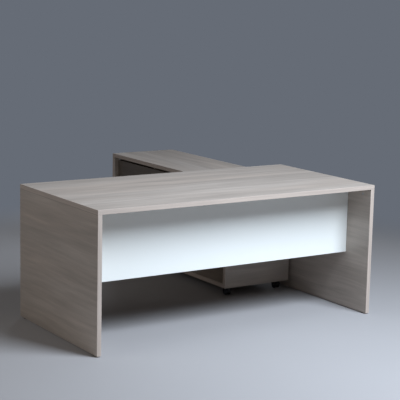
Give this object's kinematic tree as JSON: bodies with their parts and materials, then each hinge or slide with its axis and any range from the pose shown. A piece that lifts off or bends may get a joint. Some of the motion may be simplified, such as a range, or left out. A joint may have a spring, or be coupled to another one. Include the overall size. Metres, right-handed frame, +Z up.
{
  "type": "desk with credenza",
  "caption": "Executive desk with slab ends and a white modesty panel, and a long low credenza on castors standing at right angles with its end tucked under the desktop.",
  "frame": {"origin": "on the floor, at the middle of the whole set's footprint", "axes": "-Y is the desk's front, the visitor's side; the credenza runs along Y beyond the user's side; +X runs along the desktop to the side where the credenza stands; +Z is up"},
  "size_m": [1.8, 2.115, 0.76],
  "materials": {
    "laminate": "matt grey-brown wood-grain laminate",
    "front_laminate": "matt dark taupe laminate",
    "edge_band": "matt wood-grain plastic edge band",
    "white_lacquer": "white satin lacquer",
    "drawer_board": "light grey coated board",
    "beech": "bare beech",
    "steel": "bright zinc plate",
    "zinc": "die-cast",
    "black_plastic": "black moulded plastic",
    "castor_plastic": "black moulded plastic, smooth tread"
  },
  "bodies": {
    "desk": {"desktop": "laminate", "desktop_edge_bands": "edge_band", "left_end_panel": "laminate", "right_end_panel": "laminate", "end_panel_edge_bands": "edge_band", "modesty_panel": "white_lacquer", "floor_glides": "black_plastic", "desk_dowels": "beech", "desk_cam_locks": "zinc", "desk_cam_bolts": "steel"},
    "credenza": {"credenza_top": "laminate", "credenza_bottom": "laminate", "near_end_panel": "laminate", "far_end_panel": "laminate", "back_panel": "laminate", "near_divider": "laminate", "far_divider": "laminate", "credenza_top_edge_bands": "edge_band", "carcass_edge_bands": "edge_band", "niche_shelf": "laminate", "cupboard_shelf": "laminate", "shelf_supports": "steel", "credenza_dowels": "beech", "credenza_cam_locks": "zinc", "credenza_cam_bolts": "steel", "fixed_runners": "steel", "castor_plates": "steel", "castor_screws": "steel", "door_pivot_pins": "steel"},
    "door": {"door_panel": "front_laminate", "door_pivot_bushes": "black_plastic"},
    "upper_drawer": {"upper_drawer_front": "front_laminate", "upper_drawer_box": "drawer_board", "upper_drawer_bottom": "drawer_board", "upper_drawer_runners": "steel"},
    "upper_carriers": {"upper_runner_carriers": "steel"},
    "middle_drawer": {"middle_drawer_front": "front_laminate", "middle_drawer_box": "drawer_board", "middle_drawer_bottom": "drawer_board", "middle_drawer_runners": "steel"},
    "middle_carriers": {"middle_runner_carriers": "steel"},
    "lower_drawer": {"lower_drawer_front": "front_laminate", "lower_drawer_box": "drawer_board", "lower_drawer_bottom": "drawer_board", "lower_drawer_runners": "steel"},
    "lower_carriers": {"lower_runner_carriers": "steel"},
    "near_left_swivel": {"near_left_castor_housing": "black_plastic", "near_left_castor_axle": "steel"},
    "near_left_wheels": {"near_left_castor_wheels": "castor_plastic"},
    "near_right_swivel": {"near_right_castor_housing": "black_plastic", "near_right_castor_axle": "steel"},
    "near_right_wheels": {"near_right_castor_wheels": "castor_plastic"},
    "far_left_swivel": {"far_left_castor_housing": "black_plastic", "far_left_castor_axle": "steel"},
    "far_left_wheels": {"far_left_castor_wheels": "castor_plastic"},
    "far_right_swivel": {"far_right_castor_housing": "black_plastic", "far_right_castor_axle": "steel"},
    "far_right_wheels": {"far_right_castor_wheels": "castor_plastic"}
  },
  "joints": [
    {"name": "credenza_roll", "type": "slide", "parent": "desk", "child": "credenza", "axis": [0, 1, 0], "range_m": [-0.45, 0.45]},
    {"name": "door_hinge", "type": "hinge", "parent": "credenza", "child": "door", "pos_m": [0.406, 1.0185, 0.38], "axis": [0, 0, -1], "range_deg": [0, 95]},
    {"name": "upper_drawer_slide", "type": "slide", "parent": "credenza", "child": "upper_drawer", "axis": [-1, 0, 0], "range_m": [0, 0.38]},
    {"name": "upper_carrier_slide", "type": "slide", "parent": "credenza", "child": "upper_carriers", "axis": [-1, 0, 0], "range_m": [0, 0.19]},
    {"name": "middle_drawer_slide", "type": "slide", "parent": "credenza", "child": "middle_drawer", "axis": [-1, 0, 0], "range_m": [0, 0.38]},
    {"name": "middle_carrier_slide", "type": "slide", "parent": "credenza", "child": "middle_carriers", "axis": [-1, 0, 0], "range_m": [0, 0.19]},
    {"name": "lower_drawer_slide", "type": "slide", "parent": "credenza", "child": "lower_drawer", "axis": [-1, 0, 0], "range_m": [0, 0.38]},
    {"name": "lower_carrier_slide", "type": "slide", "parent": "credenza", "child": "lower_carriers", "axis": [-1, 0, 0], "range_m": [0, 0.19]},
    {"name": "near_left_swivel_turn", "type": "hinge", "parent": "credenza", "child": "near_left_swivel", "pos_m": [0.425, -0.2975, 0.05], "axis": [0, 0, 1], "continuous": true},
    {"name": "near_left_wheel_spin", "type": "hinge", "parent": "near_left_swivel", "child": "near_left_wheels", "pos_m": [0.425, -0.2855, 0.021], "axis": [1, 0, 0], "continuous": true},
    {"name": "near_right_swivel_turn", "type": "hinge", "parent": "credenza", "child": "near_right_swivel", "pos_m": [0.795, -0.2975, 0.05], "axis": [0, 0, 1], "continuous": true},
    {"name": "near_right_wheel_spin", "type": "hinge", "parent": "near_right_swivel", "child": "near_right_wheels", "pos_m": [0.795, -0.2855, 0.021], "axis": [1, 0, 0], "continuous": true},
    {"name": "far_left_swivel_turn", "type": "hinge", "parent": "credenza", "child": "far_left_swivel", "pos_m": [0.425, 1.0125, 0.05], "axis": [0, 0, 1], "continuous": true},
    {"name": "far_left_wheel_spin", "type": "hinge", "parent": "far_left_swivel", "child": "far_left_wheels", "pos_m": [0.425, 1.0245, 0.021], "axis": [1, 0, 0], "continuous": true},
    {"name": "far_right_swivel_turn", "type": "hinge", "parent": "credenza", "child": "far_right_swivel", "pos_m": [0.795, 1.0125, 0.05], "axis": [0, 0, 1], "continuous": true},
    {"name": "far_right_wheel_spin", "type": "hinge", "parent": "far_right_swivel", "child": "far_right_wheels", "pos_m": [0.795, 1.0245, 0.021], "axis": [1, 0, 0], "continuous": true}
  ],
  "couplings": [
    {"joint": "upper_carrier_slide", "follows": "upper_drawer_slide", "ratio": 0.5},
    {"joint": "middle_carrier_slide", "follows": "middle_drawer_slide", "ratio": 0.5},
    {"joint": "lower_carrier_slide", "follows": "lower_drawer_slide", "ratio": 0.5}
  ]
}
